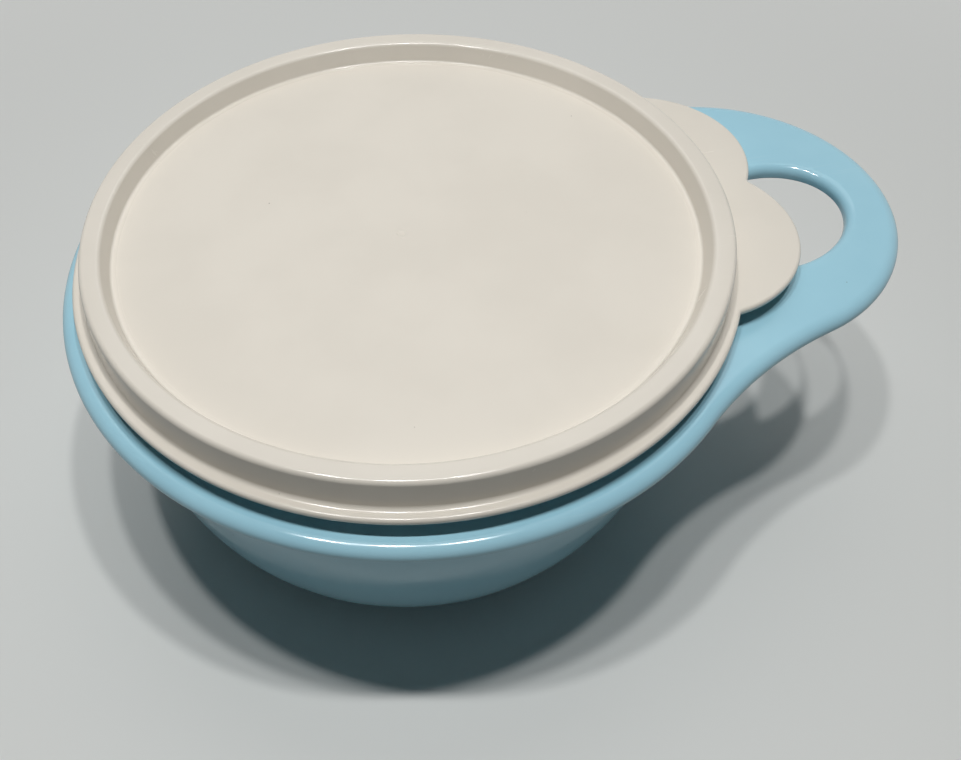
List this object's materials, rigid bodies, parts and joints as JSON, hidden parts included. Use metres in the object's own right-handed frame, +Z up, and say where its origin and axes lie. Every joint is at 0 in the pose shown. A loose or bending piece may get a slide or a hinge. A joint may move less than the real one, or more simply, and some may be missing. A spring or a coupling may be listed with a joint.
{
  "type": "food storage bowl with lid",
  "caption": "Round plastic storage bowl with a flat thumb-hole handle at its rim and a press-on lid with a recessed panel, a sealing bead and a lobed pull tab.",
  "frame": {"origin": "centre of the bowl's flat underside", "axes": "+Z up along the bowl's axis, out through the lid; +X towards the tip of the handle"},
  "size_m": [0.2472, 0.2002, 0.0978],
  "materials": {
    "blue_plastic": "glossy moulded plastic, pale blue",
    "cream_plastic": "satin moulded plastic, warm off-white"
  },
  "bodies": {
    "bowl": {"bowl": "blue_plastic"},
    "lid": {"lid": "cream_plastic"}
  },
  "joints": [
    {"name": "lid_lift", "type": "slide", "parent": "bowl", "child": "lid", "axis": [0, 0, 1], "range_m": [0, 0.1]}
  ]
}
